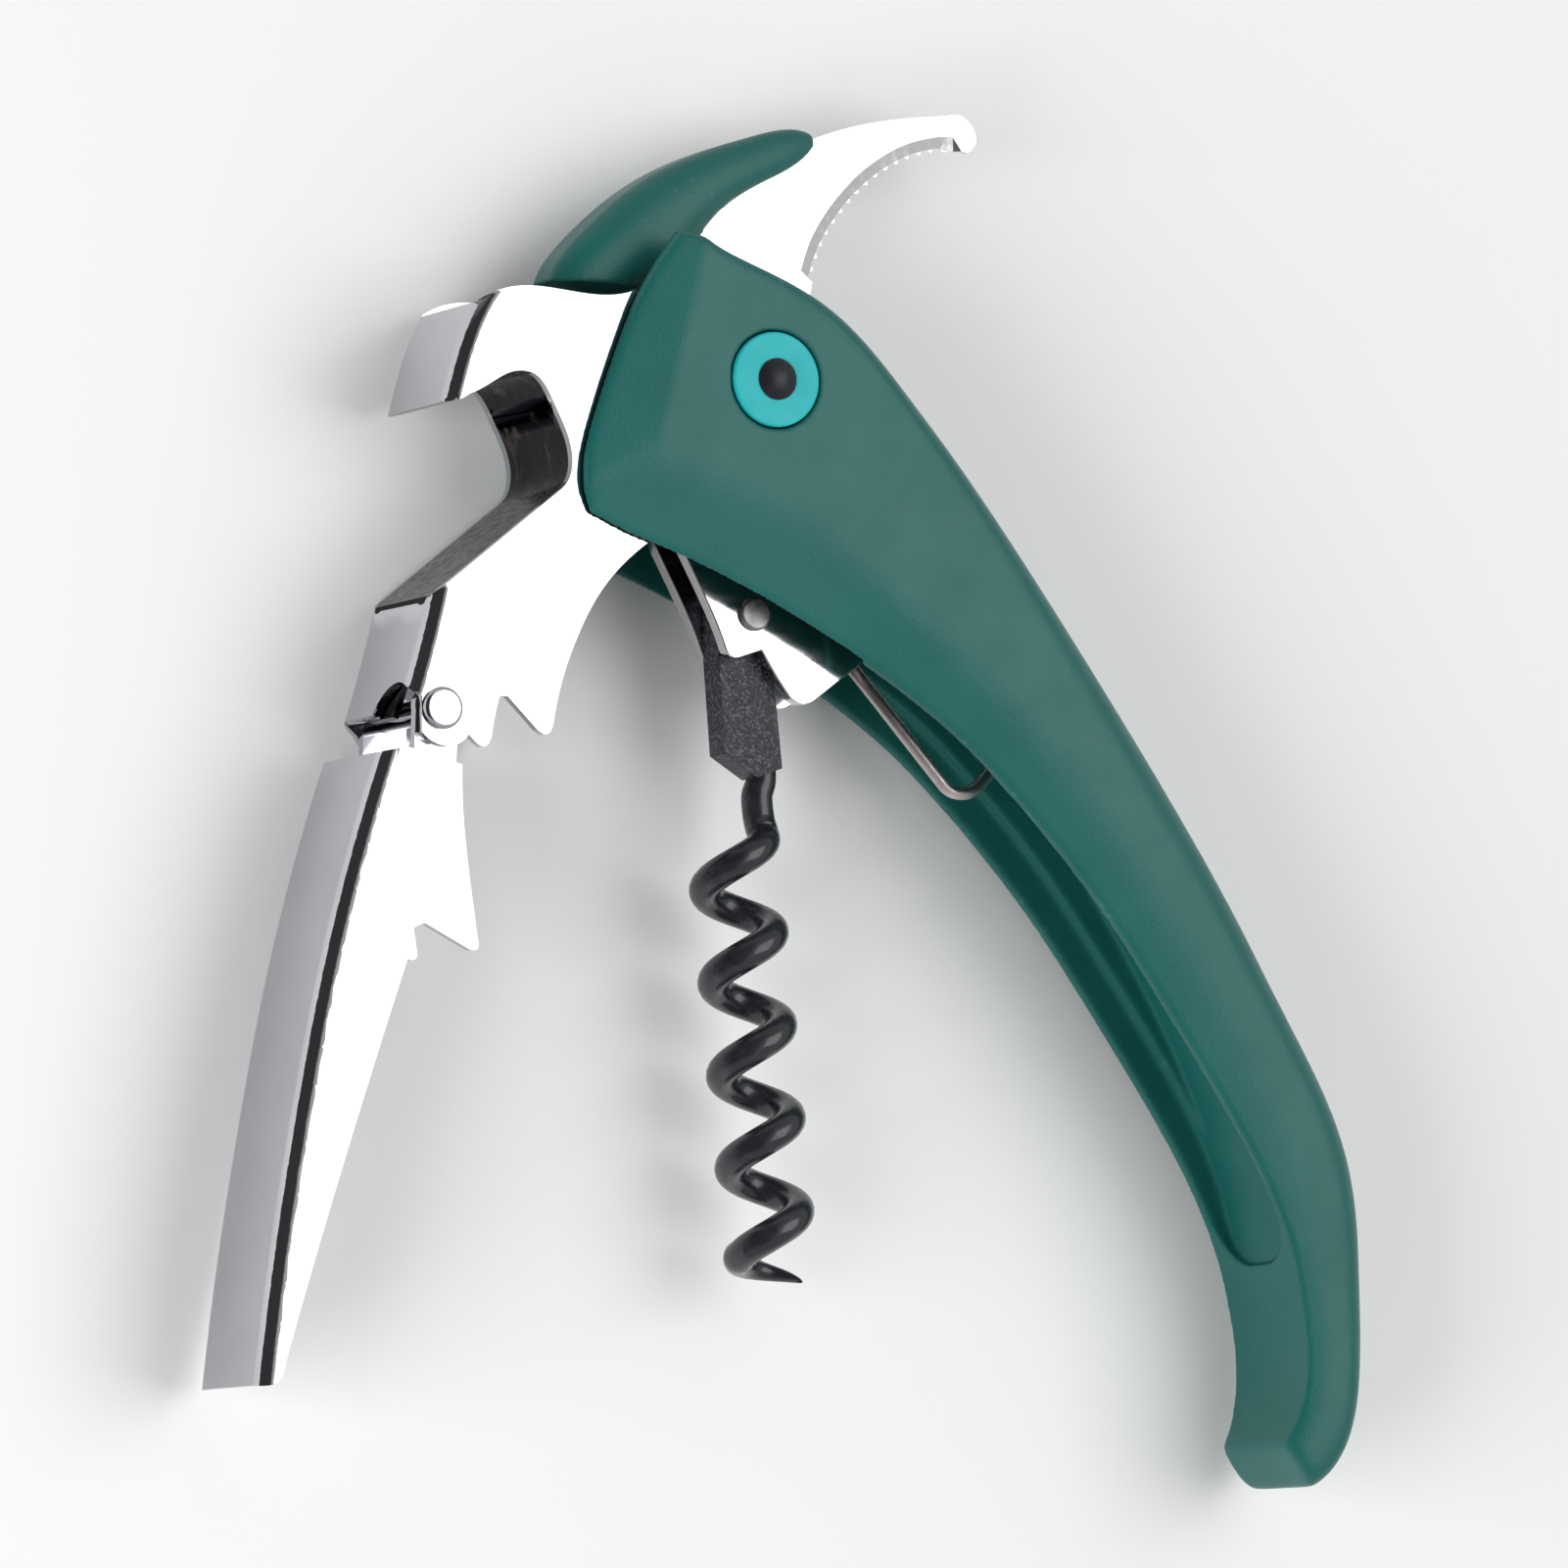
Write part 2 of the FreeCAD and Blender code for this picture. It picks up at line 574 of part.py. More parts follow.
def main():
    os.makedirs("parts", exist_ok=True)
    save("handle_body", make_handle())
    far = make_eye_ring(HEAD_HALF).mirror(V(0, 0, 0), UP)
    save("eye_ring_near", make_eye_ring(HEAD_HALF + 0.2))
    save("eye_ring_far", far)
    save("pupil_near", make_pupil(0.7))
    save("pupil_far", make_pupil(0).mirror(V(0, 0, 0), UP))
    seat = HEAD_HALF - RING_DEPTH
    save("pivot_axle", disc(AXLE_R, -seat, seat))
    cheek_out = CHEEK_IN + CHEEK_T
    plate_in = LEVER_HALF - SHEET
    for side, low, high in (("near", BLADE_T / 2 + RUN, CHEEK_IN), ("far", -CHEEK_IN, -BLADE_T / 2 - RUN)):
        save("knife_washer_" + side, ring(4.0, AXLE_R, low, high))
    for side, low, high in (("near", cheek_out, plate_in - RUN), ("far", RUN - plate_in, -cheek_out)):
        save("spacer_" + side, ring(3.6, AXLE_R, low, high))
    save("upper_lever", make_upper_lever())
    save("lower_lever", make_lower_lever())
    save("knee_rivet", make_knee_rivet())
    save("lever_spring", make_lever_spring())
    blade = make_blade()
    save("knife_blade", blade.cut(make_grip_pins()))
    save("crest_grip", make_crest(blade))
    save("grip_pins", make_grip_pins())
    near, far = both_sides(make_cheek)
    save("cheek_near", near)
    save("cheek_far", far)
    save("worm_rivet", make_worm_rivet())
    save("wire_spring", make_wire_spring())
    worm = make_worm()
    save("worm_hub", make_hub().cut(worm))
    save("worm", worm)


main()
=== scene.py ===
import json
import math
import bmesh
import bpy
from mathutils import Matrix, Vector


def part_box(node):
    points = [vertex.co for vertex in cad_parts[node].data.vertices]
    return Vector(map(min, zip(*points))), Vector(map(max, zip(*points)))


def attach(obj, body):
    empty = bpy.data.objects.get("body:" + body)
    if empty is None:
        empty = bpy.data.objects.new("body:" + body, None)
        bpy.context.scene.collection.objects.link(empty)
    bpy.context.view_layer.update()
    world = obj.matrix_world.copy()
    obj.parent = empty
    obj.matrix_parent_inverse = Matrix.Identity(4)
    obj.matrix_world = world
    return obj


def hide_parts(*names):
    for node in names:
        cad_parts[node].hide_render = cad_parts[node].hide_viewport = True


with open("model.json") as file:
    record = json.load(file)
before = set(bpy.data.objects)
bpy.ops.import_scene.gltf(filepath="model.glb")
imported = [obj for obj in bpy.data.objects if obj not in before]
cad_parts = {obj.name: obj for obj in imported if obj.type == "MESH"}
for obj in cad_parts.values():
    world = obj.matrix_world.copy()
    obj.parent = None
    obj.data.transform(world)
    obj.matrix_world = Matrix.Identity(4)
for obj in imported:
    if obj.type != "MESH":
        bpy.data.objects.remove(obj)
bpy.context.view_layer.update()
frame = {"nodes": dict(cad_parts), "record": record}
nodes = frame["nodes"]
body_of_node = {n: b for b, names in frame["record"]["behaviour"]["bodies"].items() for n in names}
slot_of_node = {s["node"]: s["material_slot"] for s in frame["record"]["subparts"]}
MM = 0.001
UP = Vector((0, 0, 1))
MID_Z = sum(corner.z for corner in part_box("pivot_axle")) / 2
EYE_R = (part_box("eye_ring_near")[1].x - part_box("eye_ring_near")[0].x) / 2


def at(x_mm, y_mm):
    """A point in the object's middle plane."""
    return Vector((x_mm * MM, y_mm * MM, MID_Z))


# ---------------------------------------------------------------- camera, floor and light
VIEW_TURN = math.radians(27.5)      # round the object, towards the lever's side
VIEW_DIP = math.radians(5.4)        # towards the tail
VIEW_DISTANCE = 1.0
FRAME_WIDTH = 0.1469                # width of what the camera sees at the object
LOOK_AT = at(5.9, -36.7)


def camera_axes():
    """The camera's right, up and backward directions."""
    ct, st = math.cos(VIEW_TURN), math.sin(VIEW_TURN)
    cd, sd = math.cos(VIEW_DIP), math.sin(VIEW_DIP)
    return Vector((ct, 0, st)), Vector((-st * sd, cd, ct * sd)), Vector((-st * cd, -sd, ct * cd))


def add_to_scene(name, data):
    obj = bpy.data.objects.new(name, data)
    bpy.context.scene.collection.objects.link(obj)
    return obj


def place_along(obj, right, up, back, place):
    matrix = Matrix((right, up, back)).transposed().to_4x4()
    matrix.translation = place
    obj.matrix_world = matrix


def make_camera():
    right, up, back = camera_axes()
    data = bpy.data.cameras.new("camera")
    data.sensor_width = 36.0
    data.lens = data.sensor_width * VIEW_DISTANCE / FRAME_WIDTH
    data.clip_start = 0.01
    camera = add_to_scene("camera", data)
    place_along(camera, right, up, back, LOOK_AT + back * VIEW_DISTANCE)
    bpy.context.scene.camera = camera


def softbox(name, towards, distance, side, power, mirrored=True):
    """A square soft light that shines on the object; bright metal shows it only if mirrored."""
    back = Vector(towards).normalized()
    right = Vector((0, 1, 0)).cross(back).normalized()
    data = bpy.data.lights.new(name, "AREA")
    data.shape = "SQUARE"
    data.size = side
    data.energy = power
    light = add_to_scene(name, data)
    light.visible_glossy = mirrored
    place_along(light, right, back.cross(right), back, LOOK_AT + back * distance)


# edges of the black card, as directions: where it starts to show and where it is gone
CARD_RIGHT = (-0.28, 0.0)
CARD_TOP = (0.62, 0.95)
CARD_BOTTOM = (-0.45, -0.75)
CARD_GLOW = 0.05
ROOM_GLOW = 0.55


def smooth_step(tree, value, dark, light):
    node = tree.nodes.new("ShaderNodeMapRange")
    node.interpolation_type = "SMOOTHSTEP"
    node.inputs["From Min"].default_value = dark
    node.inputs["From Max"].default_value = light
    tree.links.new(value, node.inputs["Value"])
    return node.outputs["Result"]


def combined(tree, operation, *values):
    node = tree.nodes.new("ShaderNodeMath")
    node.operation = operation
    for socket, value in zip(node.inputs, values):
        if isinstance(value, float):
            socket.default_value = value
        else:
            tree.links.new(value, socket)
    return node.outputs[0]


def make_world():
    """White all round, with an unlit black card low on the left, which bright metal picks up."""
    world = bpy.data.worlds.new("studio")
    bpy.context.scene.world = world
    world.use_nodes = True
    tree = world.node_tree
    link = tree.links.new
    place = tree.nodes.new("ShaderNodeTexCoord")
    split = tree.nodes.new("ShaderNodeSeparateXYZ")
    link(place.outputs["Generated"], split.inputs[0])
    left = smooth_step(tree, split.outputs["X"], *CARD_RIGHT)
    above = smooth_step(tree, split.outputs["Y"], *CARD_TOP)
    below = smooth_step(tree, split.outputs["Y"], *CARD_BOTTOM)
    brightest = combined(tree, "MAXIMUM", left, combined(tree, "MAXIMUM", above, below))
    lit = combined(tree, "MULTIPLY_ADD", brightest, ROOM_GLOW - CARD_GLOW, CARD_GLOW)
    back = tree.nodes["Background"]
    link(lit, back.inputs["Strength"])
    back.inputs["Color"].default_value = (1.0, 1.0, 1.0, 1.0)


FLOOR_HALF = 1.2
FLOOR_DROP = 0.05 * MM              # a hair below the object, so that the two never share a plane


def make_floor():
    mesh = bpy.data.meshes.new("floor")
    corners = [(x * FLOOR_HALF, y * FLOOR_HALF, 0) for x, y in ((-1, -1), (1, -1), (1, 1), (-1, 1))]
    mesh.from_pydata(corners, [], [(0, 1, 2, 3)])
    floor = add_to_scene("floor", mesh)
    floor.location.z = -FLOOR_DROP
    tone = bpy.data.materials.new("floor_paper")
    tone.use_nodes = True
    shader = tone.node_tree.nodes["Principled BSDF"]
    shader.inputs["Base Color"].default_value = (0.93, 0.93, 0.93, 1)
    shader.inputs["Roughness"].default_value = 0.9
    shader.inputs["Specular IOR Level"].default_value = 0.1
    mesh.materials.append(tone)


# ---------------------------------------------------------------- material building blocks
class Surface:
    """A Principled material with textures placed by the piece's own coordinates."""

    def __init__(self, name, **values):
        self.material = bpy.data.materials.new(name)
        self.material.use_nodes = True
        self.tree = self.material.node_tree
        self.shader = self.tree.nodes["Principled BSDF"]
        self.place = self.tree.nodes.new("ShaderNodeTexCoord").outputs["Object"]
        for socket, value in values.items():
            self.shader.inputs[socket.replace("_", " ")].default_value = value

    def link(self, a, b):
        self.tree.links.new(a, b)

    def noise(self, size_mm, detail=2.0, stretch=(1, 1, 1)):
        """Soft random values, their features size_mm across, and longer where stretch is under 1."""
        mapping = self.tree.nodes.new("ShaderNodeMapping")
        mapping.inputs["Scale"].default_value = stretch
        node = self.tree.nodes.new("ShaderNodeTexNoise")
        node.inputs["Scale"].default_value = 1 / (size_mm * MM)
        node.inputs["Detail"].default_value = detail
        self.link(self.place, mapping.inputs["Vector"])
        self.link(mapping.outputs["Vector"], node.inputs["Vector"])
        return node.outputs["Fac"]

    def cells(self, size_mm):
        """A random grey for each grain about size_mm across, and the distance from its middle."""
        node = self.tree.nodes.new("ShaderNodeTexVoronoi")
        node.inputs["Scale"].default_value = 1 / (size_mm * MM)
        self.link(self.place, node.inputs["Vector"])
        split = self.tree.nodes.new("ShaderNodeSeparateColor")
        self.link(node.outputs["Color"], split.inputs[0])
        return split.outputs["Red"], node.outputs["Distance"]

    def spread(self, value, low, high, start=0.3, stop=0.7):
        """The value between start and stop, spread from low to high."""
        node = self.tree.nodes.new("ShaderNodeMapRange")
        for socket, number in (("From Min", start), ("From Max", stop),
                               ("To Min", low), ("To Max", high)):
            node.inputs[socket].default_value = number
        self.link(value, node.inputs["Value"])
        return node.outputs["Result"]

    def blend(self, factor, first, second):
        """A colour from first to second."""
        node = self.tree.nodes.new("ShaderNodeMix")
        node.data_type = "RGBA"
        for socket, colour in (("A", first), ("B", second)):
            target = next(s for s in node.inputs if s.name == socket and s.type == "RGBA")
            if isinstance(colour, tuple):
                target.default_value = (*colour, 1)
            else:
                self.link(colour, target)
        self.link(factor, node.inputs["Factor"])
        return next(s for s in node.outputs if s.type == "RGBA")

    def edges(self):
        """1 on edges that stand out and 0 on flat faces."""
        node = self.tree.nodes.new("ShaderNodeNewGeometry")
        return self.spread(node.outputs["Pointiness"], 0, 1, 0.54, 0.62)

    def colour(self, source):
        self.link(source, self.shader.inputs["Base Color"])

    def roughness(self, source):
        self.link(source, self.shader.inputs["Roughness"])

    def relief(self, height, depth_mm):
        """Adds a fine relief to those that are there already."""
        node = self.tree.nodes.new("ShaderNodeBump")
        node.inputs["Distance"].default_value = depth_mm * MM
        node.inputs["Strength"].default_value = 1.0
        self.link(height, node.inputs["Height"])
        last = self.shader.inputs["Normal"]
        if last.is_linked:
            self.link(last.links[0].from_socket, node.inputs["Normal"])
        self.link(node.outputs["Normal"], last)


# ---------------------------------------------------------------- materials
def green_plastic():
    """Satin moulded plastic: a fine spark-eroded grain, and a painted highlight: edges that stand
    out are painted a lighter green.
    """
    s = Surface("satin_green", IOR=1.49, Specular_IOR_Level=0.34)
    tone = s.blend(s.spread(s.noise(9, 3), 0, 1), (0.0095, 0.112, 0.100), (0.0125, 0.126, 0.112))
    # painted highlight: where edges stand out, the green is painted lighter
    s.colour(s.blend(s.edges(), tone, (0.022, 0.150, 0.136)))
    s.roughness(s.spread(s.noise(5, 4), 0.36, 0.44))
    s.relief(s.noise(0.30, 2), 0.036)
    s.relief(s.noise(0.12, 1), 0.012)
    return s.material


def turquoise_plastic():
    s = Surface("turquoise", IOR=1.5, Specular_IOR_Level=0.25)
    s.colour(s.blend(s.spread(s.noise(2.5, 2), 0, 1), (0.018, 0.44, 0.47), (0.026, 0.49, 0.52)))
    s.roughness(s.spread(s.noise(1.2, 2), 0.38, 0.48))
    s.relief(s.noise(0.5, 2), 0.003)
    return s.material


def black_plastic():
    s = Surface("pupil_black", IOR=1.5, Specular_IOR_Level=0.3)
    s.colour(s.blend(s.spread(s.noise(1.5, 2), 0, 1), (0.010, 0.011, 0.016), (0.016, 0.017, 0.023)))
    s.roughness(s.spread(s.noise(0.8, 2), 0.34, 0.42))
    s.relief(s.noise(0.4, 2), 0.002)
    return s.material


def plated_steel():
    """Bright plating on pressed sheet: faint drawing marks and hazy patches."""
    s = Surface("bright_plating", Metallic=1.0)
    s.colour(s.blend(s.spread(s.noise(12, 3), 0, 1), (0.53, 0.515, 0.55), (0.59, 0.575, 0.61)))
    s.roughness(s.spread(s.noise(3, 4, (1, 0.3, 1)), 0.045, 0.10))
    s.relief(s.noise(3.0, 2, (1, 0.25, 1)), 0.0005)
    return s.material


def blued_steel():
    """Dark, heat-coloured spring steel."""
    s = Surface("blued_steel", Metallic=1.0)
    s.colour(s.blend(s.spread(s.noise(2.0, 3), 0, 1), (0.035, 0.036, 0.042), (0.075, 0.070, 0.070)))
    s.roughness(s.spread(s.noise(1.0, 3), 0.16, 0.28))
    s.relief(s.noise(0.5, 2), 0.002)
    return s.material


def near_black_web():
    """The web inside the opener, painted near-black, with lighter streaks along it."""
    s = Surface("near_black_web", Metallic=1.0)
    streaks = s.spread(s.noise(1.1, 4, (1, 0.12, 0.5)), 0, 1, 0.56, 0.72)
    s.colour(s.blend(streaks, (0.004, 0.005, 0.008), (0.11, 0.082, 0.065)))
    s.roughness(s.spread(s.noise(0.6, 3, (1, 0.15, 0.5)), 0.18, 0.34))
    s.relief(s.noise(0.35, 2, (1, 0.1, 0.5)), 0.002)
    return s.material


def polished_steel():
    s = Surface("polished_steel", Metallic=1.0)
    s.colour(s.blend(s.spread(s.noise(6, 3), 0, 1), (0.74, 0.735, 0.74), (0.82, 0.81, 0.82)))
    s.roughness(s.spread(s.noise(1.0, 4, (0.3, 1, 1)), 0.08, 0.16))
    s.relief(s.noise(0.5, 3, (0.2, 1, 1)), 0.0015)
    return s.material


def blade_steel():
    """Blade steel with fine lines along its length."""
    s = Surface("blade_steel", Metallic=1.0)
    s.colour(s.blend(s.spread(s.noise(5, 3), 0, 1), (0.78, 0.77, 0.78), (0.85, 0.84, 0.85)))
    s.roughness(s.spread(s.noise(0.6, 4, (0.12, 1, 1)), 0.10, 0.20))
    s.relief(s.noise(0.2, 2, (0.05, 1, 1)), 0.0012)
    return s.material


def plain_steel():
    """Turned or headed steel, a little rough, with a grey haze."""
    s = Surface("plain_steel", Metallic=1.0)
    s.colour(s.blend(s.spread(s.noise(1.0, 3), 0, 1), (0.26, 0.25, 0.25), (0.46, 0.45, 0.45)))
    s.roughness(s.spread(s.noise(0.5, 3), 0.34, 0.52))
    s.relief(s.noise(0.35, 3), 0.006)
    return s.material


def spring_steel():
    """Drawn wire: warm grey, with marks along it."""
    s = Surface("spring_steel", Metallic=1.0)
    s.colour(s.blend(s.spread(s.noise(1.5, 3), 0, 1), (0.62, 0.54, 0.52), (0.72, 0.65, 0.63)))
    s.roughness(s.spread(s.noise(0.6, 3), 0.34, 0.46))
    s.relief(s.noise(0.5, 2), 0.002)
    return s.material


def black_hub():
    """Cast hub under a coarse, sparkling black coat."""
    s = Surface("hub_coat", IOR=1.5, Specular_IOR_Level=0.35)
    grain, distance = s.cells(0.2)
    s.colour(s.blend(s.spread(grain, 0, 1, 0.6, 1.0), (0.007, 0.007, 0.011), (0.12, 0.12, 0.15)))
    s.roughness(s.spread(grain, 0.28, 0.6, 0.0, 1.0))
    s.relief(distance, 0.03)
    return s.material


def black_coating():
    """Slick non-stick coat: nearly black, blue in its lights, with an orange-peel surface."""
    s = Surface("slick_coat", IOR=1.45, Coat_Weight=0.4, Coat_Roughness=0.1)
    s.colour(s.blend(s.spread(s.noise(1.5, 3), 0, 1), (0.010, 0.010, 0.014), (0.020, 0.020, 0.028)))
    s.roughness(s.spread(s.noise(0.8, 3), 0.22, 0.36))
    s.relief(s.noise(0.7, 2), 0.02)
    return s.material


# the finish of each material slot: the functions bear the slots' names
FINISHES = {make.__name__: make() for make in (
    green_plastic, turquoise_plastic, black_plastic, polished_steel, blade_steel, plain_steel,
    spring_steel, black_hub, black_coating, plated_steel)}


def finish_with(obj, finish):
    obj.data.materials.clear()
    obj.data.materials.append(finish)


# ---------------------------------------------------------------- shapes from the frame's solids
WELD_GAP = 0.002 * MM               # corners nearer to each other than this are one


def welded(node):
    """A node's mesh with its faces joined along their edges."""
    shape = bmesh.new()
    shape.from_mesh(nodes[node].data)
    bmesh.ops.remove_doubles(shape, verts=shape.verts, dist=WELD_GAP)
    return shape


def stand_for(node, name, shape):
    """Puts a finished shape in the scene in place of a CAD node."""
    mesh = bpy.data.meshes.new(name)
    shape.to_mesh(mesh)
    shape.free()
    mesh.materials.append(FINISHES[slot_of_node[node]])
    return add_to_scene(name, mesh)


def hand_over(obj, node):
    """The piece takes the CAD node's place on its body."""
    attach(obj, body_of_node[node])
    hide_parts(node)


def apply_modifiers(obj):
    graph = bpy.context.evaluated_depsgraph_get()
    mesh = bpy.data.meshes.new_from_object(obj.evaluated_get(graph))
    obj.modifiers.clear()
    obj.data = mesh


def smoothing(obj, rounds, group=""):
    smooth = obj.modifiers.new("smooth", "SMOOTH")
    smooth.vertex_group = group
    smooth.factor = 0.5
    smooth.iterations = rounds
    apply_modifiers(obj)


def moulded(node, name, grid_mm, soften, worn=None, wear=0):
    """A plastic moulding: the solid's sharp edges melt in a number of rounds of smoothing, and in
    wear rounds more where worn(point) gives more than 0."""
    obj = stand_for(node, name, welded(node))
    skin = obj.modifiers.new("skin", "REMESH")
    skin.mode = "VOXEL"
    skin.voxel_size = grid_mm * MM
    skin.use_smooth_shade = True
    smoothing(obj, soften)
    if worn:
        group = obj.vertex_groups.new(name="worn")
        for vertex in obj.data.vertices:
            weight = worn(vertex.co)
            if weight > 0:
                group.add([vertex.index], weight, "REPLACE")
        smoothing(obj, wear, group.name)
        obj.vertex_groups.clear()
    hand_over(obj, node)


def ramp01(value, start, stop):
    return min(1.0, max(0.0, (value - start) / (stop - start)))


RIDGE_WEAR = 0.3
SLIM_RIDGE_WEAR = 0.4 * RIDGE_WEAR      # where the handle has grown slim, towards the tail


def handle_wear(point):
    """The outer ridges are softly rounded: all but the eye's seat, and the insides of the fork and
    the pocket. The tail's end is rounded most."""
    outside = ramp01(abs(point.z - MID_Z), 7.25 * MM, 8.0 * MM)
    off_eye = ramp01(math.hypot(point.x, point.y), EYE_R + 0.5 * MM, EYE_R + 2.0 * MM)
    slim = ramp01(-point.y, 40 * MM, 75 * MM)
    tail_end = ramp01(-point.y, 94 * MM, 99 * MM)
    ridges = RIDGE_WEAR + (SLIM_RIDGE_WEAR - RIDGE_WEAR) * slim
    return max(ridges * outside * off_eye, tail_end)


def seam_cut(shape, place, across):
    """Cuts the shape's faces along a plane, and marks the cut so that it stays."""
    everything = shape.verts[:] + shape.edges[:] + shape.faces[:]
    cut = bmesh.ops.bisect_plane(shape, geom=everything, plane_co=place, plane_no=across)
    for part in cut["geom_cut"]:
        if isinstance(part, bmesh.types.BMEdge):
            part.seam = True


def merge_flat(shape):
    """Joins neighbouring faces that lie in one plane, except across seams and materials."""
    bmesh.ops.dissolve_limit(shape, angle_limit=math.radians(0.05), verts=shape.verts,
                             edges=shape.edges, delimit={"SEAM", "MATERIAL"})


SHEET = 0.9 * MM
WEB_HEAD, WEB_FOOT, WEB_BACK = 0.0, -21.4 * MM, -18.5 * MM  # the opener's web in plan
JAW_FOOT, JAW_INSIDE = -4.5 * MM, -30.0 * MM                # the jaw in front of it, left bright


def mark_web(shape):
    """The opener's web takes the second material, between the two cut edges of the sheet."""
    low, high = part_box("upper_lever")
    floor, ceiling = low.z + SHEET, high.z - SHEET
    for level in (floor, ceiling):
        seam_cut(shape, (0, 0, level), UP)
    for face in shape.faces:
        centre = face.calc_center_median()
        upright = floor < centre.z < ceiling and abs(face.normal.z) < 0.2
        jaw = centre.y > JAW_FOOT and centre.x < JAW_INSIDE
        if upright and not jaw and WEB_FOOT < centre.y < WEB_HEAD and centre.x < WEB_BACK:
            face.material_index = 1


SHARP = math.radians(35)        # faces that meet at more than this make an edge


def deburred(node, name, width_mm, mark=None, extra=None):
    """A metal part: its sheared edges get a small radius that catches the light. mark(shape) may
    give faces the extra material."""
    shape = welded(node)
    if mark:
        mark(shape)
    merge_flat(shape)
    obj = stand_for(node, name, shape)
    if extra:
        obj.data.materials.append(extra)
    round_off = obj.modifiers.new("edges", "BEVEL")
    round_off.width = width_mm * MM
    round_off.segments = 2
    round_off.limit_method = "ANGLE"
    round_off.angle_limit = SHARP
    round_off.use_clamp_overlap = True
    for face in obj.data.polygons:
        face.use_smooth = True
    obj.data.set_sharp_from_angle(angle=SHARP)
    # shading follows the large flat faces, so that they mirror flat beside their rounded edges
    flat = obj.modifiers.new("flat", "WEIGHTED_NORMAL")
    flat.weight = 90
    flat.keep_sharp = True
    apply_modifiers(obj)
    hand_over(obj, node)


# ---------------------------------------------------------------- blade
GRIND_WIDTH = 1.5 * MM
GRIND_DEPTH = 0.42 * MM             # on each side
ROOT_OF_EDGE = 6.8 * MM             # y where the ground edge ends in the head
GRIP_END = 2.0 * MM                 # x beyond which nothing pierces the blade
TOOTH_REACH = 0.55 * MM             # all corners of the teeth are this close to the cutting edge
LEAST_CORNERS = 20                  # a side with fewer corners there has no teeth
END_RUN = 0.8 * MM                  # over this length the band narrows to the ends of the teeth
CUTTING_EDGE = [at(*p) for p in ((24.6, 24.2), (22.6, 24.2), (19.5, 23.4), (16.8, 22.0),
                                 (14.2, 20.0), (11.6, 17.1), (9.8, 14.2), (8.7, 11.0))]


def distance_in_plan(point, path):
    """How far a point is from a path, seen from above."""
    nearest = math.inf
    for a, b in zip(path, path[1:]):
        start, run = a.to_2d(), (b - a).to_2d()
        offset = point.to_2d() - start
        along = min(1.0, max(0.0, offset.dot(run) / run.length_squared))
        nearest = min(nearest, (offset - run * along).length)
    return nearest


def grind_line(edge):
    """The inner border of the ground band, beside the cutting edge."""
    line = []
    for a, b in zip(edge, edge[1:]):
        along = (b - a).normalized()
        line.append(a + Vector((along.y, -along.x, 0)) * GRIND_WIDTH)
    return line


def make_blade():
    """The knife blade, ground thin along its serrated inner edge."""
    edge = smooth_path(CUTTING_EDGE, 8)
    border = grind_line(edge)
    shape = welded("knife_blade")
    # cuts that leave the pins' and the axle's holes out of the face that is ground
    seam_cut(shape, (0, ROOT_OF_EDGE, 0), (0, 1, 0))
    seam_cut(shape, (GRIP_END, 0, 0), (1, 0, 0))
    merge_flat(shape)
    for side in [f for f in shape.faces if abs(f.normal.z) > 0.99]:
        teeth = [v for v in side.verts if distance_in_plan(v.co, edge) < TOOTH_REACH]
        if len(teeth) < LEAST_CORNERS:
            continue
        first = max(teeth, key=lambda v: v.co.x)
        last = min(teeth, key=lambda v: v.co.y)
        level = side.verts[0].co.z
        inner = [Vector((p.x, p.y, level)) for p in border
                 if p.y > last.co.y + END_RUN and p.x < first.co.x - END_RUN]
        bmesh.utils.face_split(side, first, last, coords=inner)
        drop = math.copysign(GRIND_DEPTH, level - MID_Z)
        for v in teeth:
            if v not in (first, last):
                v.co.z -= drop
    bmesh.ops.triangulate(shape, faces=shape.faces)
    hand_over(stand_for("knife_blade", "blade", shape), "knife_blade")


# ---------------------------------------------------------------- worm and wire spring
WORM_AXIS = Vector((0.1034, -0.9946, 0)).normalized()
WORM_START = at(0.4, -41.7)     # on the axis, where the turns begin
HELIX_R = 3.0 * MM
WIRE_R = 1.5 * MM
PITCH = 8.7 * MM
TURNS = 4.5
TIP_TURNS = 0.5
TIP_DROP = 3.0 * MM
NECK_CENTRES = [at(3.4, -34.0), at(3.5, -36.4)]     # where the wire leaves the hub
NECK_THINNEST = 0.88            # of the wire's radius, at the hub
NECK_GROWTH = 0.012             # from one ring of the neck to the next
STEPS_PER_TURN = 40
TIP_STEPS = 24
SPRING_CORNERS = [at(6.6, -18.3), at(23.6, -36.8), at(26.0, -36.7), at(32.4, -29.3)]
SPRING_BEND = 1.1 * MM          # how far from its corner a bend begins
BEND_STEPS = 8


def worm_centre(turn):
    """The middle of the worm's wire after a number of turns, the last half turn flatter."""
    angle = 2 * math.pi * turn
    extra = max(0.0, turn - TURNS)
    drop = PITCH * min(turn, TURNS) + TIP_DROP * extra / TIP_TURNS
    out = UP.cross(WORM_AXIS) * math.cos(angle) + UP * math.sin(angle)
    return WORM_START + WORM_AXIS * drop + out * HELIX_R


